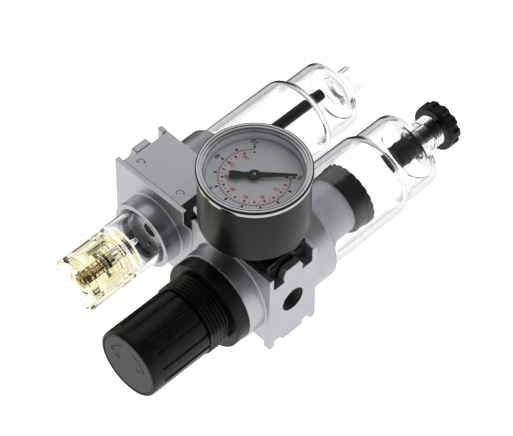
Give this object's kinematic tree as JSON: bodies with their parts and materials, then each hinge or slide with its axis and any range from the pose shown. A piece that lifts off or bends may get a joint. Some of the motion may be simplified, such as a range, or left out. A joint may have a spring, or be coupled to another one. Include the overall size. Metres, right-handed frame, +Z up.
{
  "type": "pneumatic filter regulator and lubricator unit",
  "caption": "Compressed-air service unit: filter-regulator with knob, gauge and clear drain bowl, joined to an oil lubricator with sight dome and oil bowl.",
  "frame": {"origin": "centre of the inlet port on the inlet face", "axes": "+X along the air line from inlet to outlet; -Y the front with the gauge; +Z up, towards the adjusting knob"},
  "size_m": [0.0787, 0.074, 0.1583],
  "materials": {
    "cast_silver": "satin silver paint on a zinc die casting, fine grain",
    "cover_grey": "satin light grey paint",
    "black_plastic": "satin black moulded plastic",
    "disc_grey": "matt dark grey moulded plastic",
    "neck_grey": "satin silver-grey moulded plastic",
    "filter_white": "sintered white plastic, porous",
    "black_rubber": "matt black rubber",
    "bright_steel": "turned bright steel",
    "spring_steel": "drawn spring wire",
    "brass": "turned brass",
    "clear_plastic": "clear colourless polycarbonate",
    "amber_plastic": "clear pale yellow plastic",
    "bezel_chrome": "polished chrome",
    "window_glass": "flat clear glass",
    "dial_print": "pale grey printed dial with black and red scales",
    "pointer_black": "matt black"
  },
  "bodies": {
    "root": {"fr_body": "cast_silver", "gauge_plate": "black_plastic", "bonnet": "black_plastic", "diaphragm": "black_rubber", "valve_seat": "brass", "valve_spring": "spring_steel", "setting_spring": "spring_steel", "filter_neck": "neck_grey", "louvre_ring": "black_plastic", "filter_element": "filter_white", "filter_baffle": "black_plastic", "gauge_stem": "brass", "gauge_case": "black_plastic", "gauge_bezel": "bezel_chrome", "gauge_window": "window_glass", "gauge_dial": "dial_print", "bourdon_tube": "brass", "movement": "brass", "joint_clamp": "black_plastic", "joint_oring": "black_rubber", "joint_screws": "bright_steel", "lub_body": "cast_silver", "lub_cover": "cover_grey", "sight_dome": "clear_plastic", "dome_oring": "black_rubber", "flow_flap": "black_rubber", "check_ball": "bright_steel", "pickup_tube": "black_plastic"},
    "spindle": {"spindle": "bright_steel"},
    "knob": {"knob": "black_plastic", "knob_cap": "disc_grey"},
    "spring_nut": {"spring_nut": "brass"},
    "valve": {"valve_stem": "brass", "diaphragm_disc": "bright_steel"},
    "pointer": {"gauge_pointer": "pointer_black", "pointer_shaft": "bright_steel"},
    "drain_seal": {"drain_seal": "black_rubber"},
    "drain": {"drain_stem": "black_plastic", "drain_knob": "black_plastic"},
    "filter_bowl": {"filter_bowl": "clear_plastic", "filter_bowl_oring": "black_rubber", "drain_insert": "black_plastic"},
    "oil_bowl": {"oil_bowl": "clear_plastic", "oil_bowl_oring": "black_rubber"},
    "needle_seal": {"needle_seal": "black_rubber"},
    "drip_cap": {"drip_cap": "amber_plastic", "needle_screw": "brass"}
  },
  "joints": [
    {"name": "knob_turn", "type": "hinge", "parent": "root", "child": "spindle", "pos_m": [0.0195, 0, 0.0495], "axis": [0, 0, -1], "range_deg": [0, 2160]},
    {"name": "knob_pull", "type": "slide", "parent": "spindle", "child": "knob", "axis": [0, 0, 1], "range_m": [0, 0.002]},
    {"name": "nut_travel", "type": "slide", "parent": "root", "child": "spring_nut", "axis": [0, 0, -1], "range_m": [0, 0.00751], "deforming": ["setting_spring"]},
    {"name": "valve_lift", "type": "slide", "parent": "root", "child": "valve", "axis": [0, 0, -1], "range_m": [0, 0.0015], "stiffness_N_per_m": 1500, "springref_m": -0.001, "deforming": ["valve_spring"]},
    {"name": "pointer_turn", "type": "hinge", "parent": "root", "child": "pointer", "pos_m": [0.0195, -0.0507, 0], "axis": [0, 1, 0], "range_deg": [0, 270], "stiffness_Nm_per_rad": 0.002},
    {"name": "drain_lift", "type": "slide", "parent": "filter_bowl", "child": "drain_seal", "axis": [0, 0, -1], "range_m": [0, 0.00101]},
    {"name": "drain_turn", "type": "hinge", "parent": "drain_seal", "child": "drain", "pos_m": [0.0195, 0, -0.095], "axis": [0, 0, 1], "range_deg": [0, 360]},
    {"name": "needle_lift", "type": "slide", "parent": "root", "child": "needle_seal", "axis": [0, 0, 1], "range_m": [0, 0.00101]},
    {"name": "drip_turn", "type": "hinge", "parent": "needle_seal", "child": "drip_cap", "pos_m": [0.0575, 0, 0.0405], "axis": [0, 0, 1], "range_deg": [0, 720]},
    {"name": "filter_bowl_off", "type": "slide", "parent": "root", "child": "filter_bowl", "axis": [0, 0, -1], "range_m": [0, 0.045]},
    {"name": "oil_bowl_off", "type": "slide", "parent": "root", "child": "oil_bowl", "axis": [0, 0, -1], "range_m": [0, 0.065]}
  ],
  "couplings": [
    {"joint": "nut_travel", "follows": "knob_turn", "m_per_rad": 0.00019894},
    {"joint": "drain_lift", "follows": "drain_turn", "m_per_rad": 0.00015915},
    {"joint": "needle_lift", "follows": "drip_turn", "m_per_rad": 0.000079577}
  ]
}
